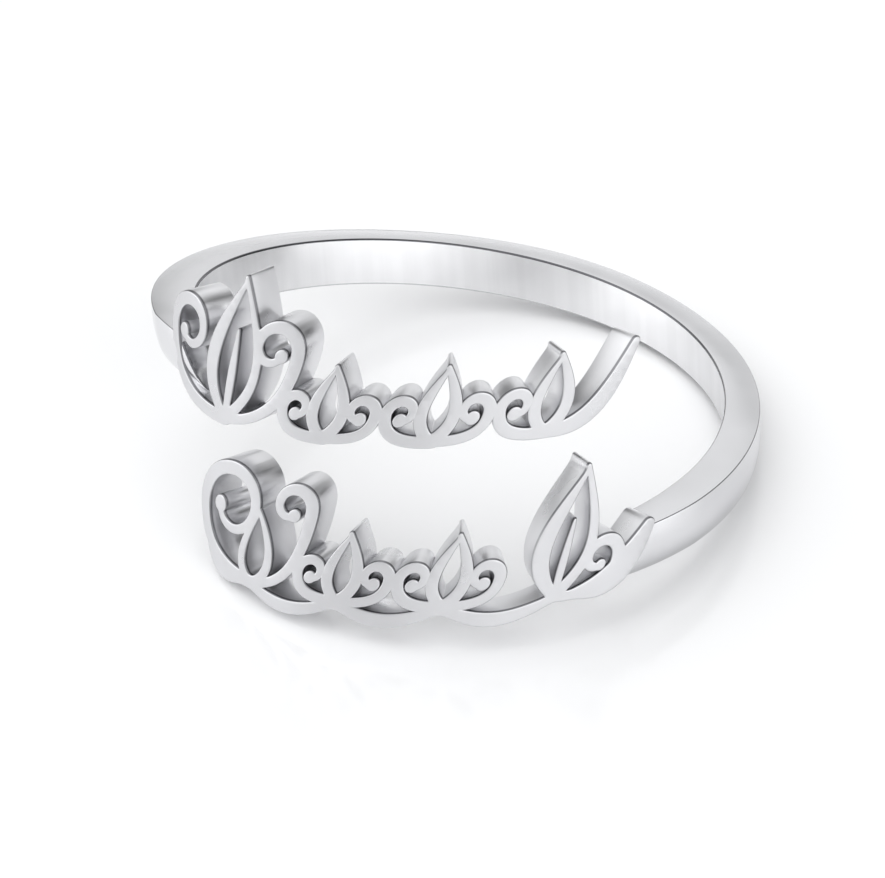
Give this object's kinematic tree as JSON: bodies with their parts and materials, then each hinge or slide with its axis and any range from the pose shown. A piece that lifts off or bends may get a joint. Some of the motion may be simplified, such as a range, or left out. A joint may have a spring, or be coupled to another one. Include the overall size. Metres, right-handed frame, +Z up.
{
  "type": "name ring",
  "caption": "Open silver wrap ring: a plain climbing band whose ends carry pierced scroll and leaf rows in place of names, one above the other across the finger.",
  "frame": {"origin": "on the surface that the ring rests on, below the middle of its bounding box", "axes": "+Z up from that surface, -Y towards the openwork front, +X to the right as seen from the front; the finger's axis leans back from +Z by 15 degrees, as the ring rests by itself"},
  "size_m": [0.0198, 0.0208, 0.0111],
  "materials": {
    "silver": "polished silver with fine satin faces on the openwork"
  },
  "bodies": {
    "root": {"ring": "silver"}
  },
  "joints": []
}
